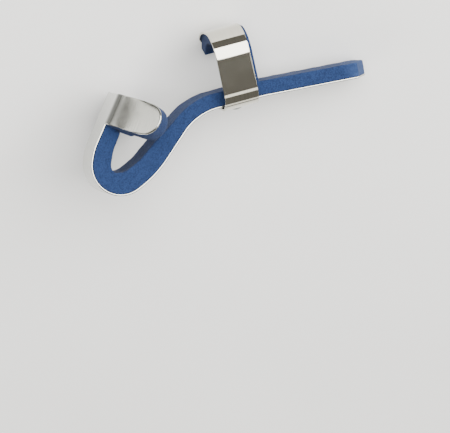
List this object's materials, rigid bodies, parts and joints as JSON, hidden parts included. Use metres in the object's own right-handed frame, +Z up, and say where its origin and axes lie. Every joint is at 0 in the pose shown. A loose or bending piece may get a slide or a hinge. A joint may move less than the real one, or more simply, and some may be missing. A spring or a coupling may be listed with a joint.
{
  "type": "finger splint",
  "caption": "Malleable aluminium finger splint: a foam-lined strip bent into a hook with a folded fingertip head, and a riveted wrap-round clip lined with foam",
  "frame": {"origin": "middle of the bounding box, on the floor that the splint lies on", "axes": "+X towards the free end, along the splint's longest side; +Z up, away from the floor; +Y towards the side of the strip that the finger lies on"},
  "size_m": [0.1292, 0.0782, 0.0562],
  "materials": {
    "strip_aluminium": "bright rolled",
    "strip_foam": "soft blue open-cell foam",
    "clip_aluminium": "bright rolled",
    "clip_foam": "soft blue open-cell foam",
    "rivet_aluminium": "dull"
  },
  "bodies": {
    "root": {"backing_strip": "strip_aluminium", "strip_pad": "strip_foam", "clip_band": "clip_aluminium", "clip_pad": "clip_foam", "rivet": "rivet_aluminium"}
  },
  "joints": []
}
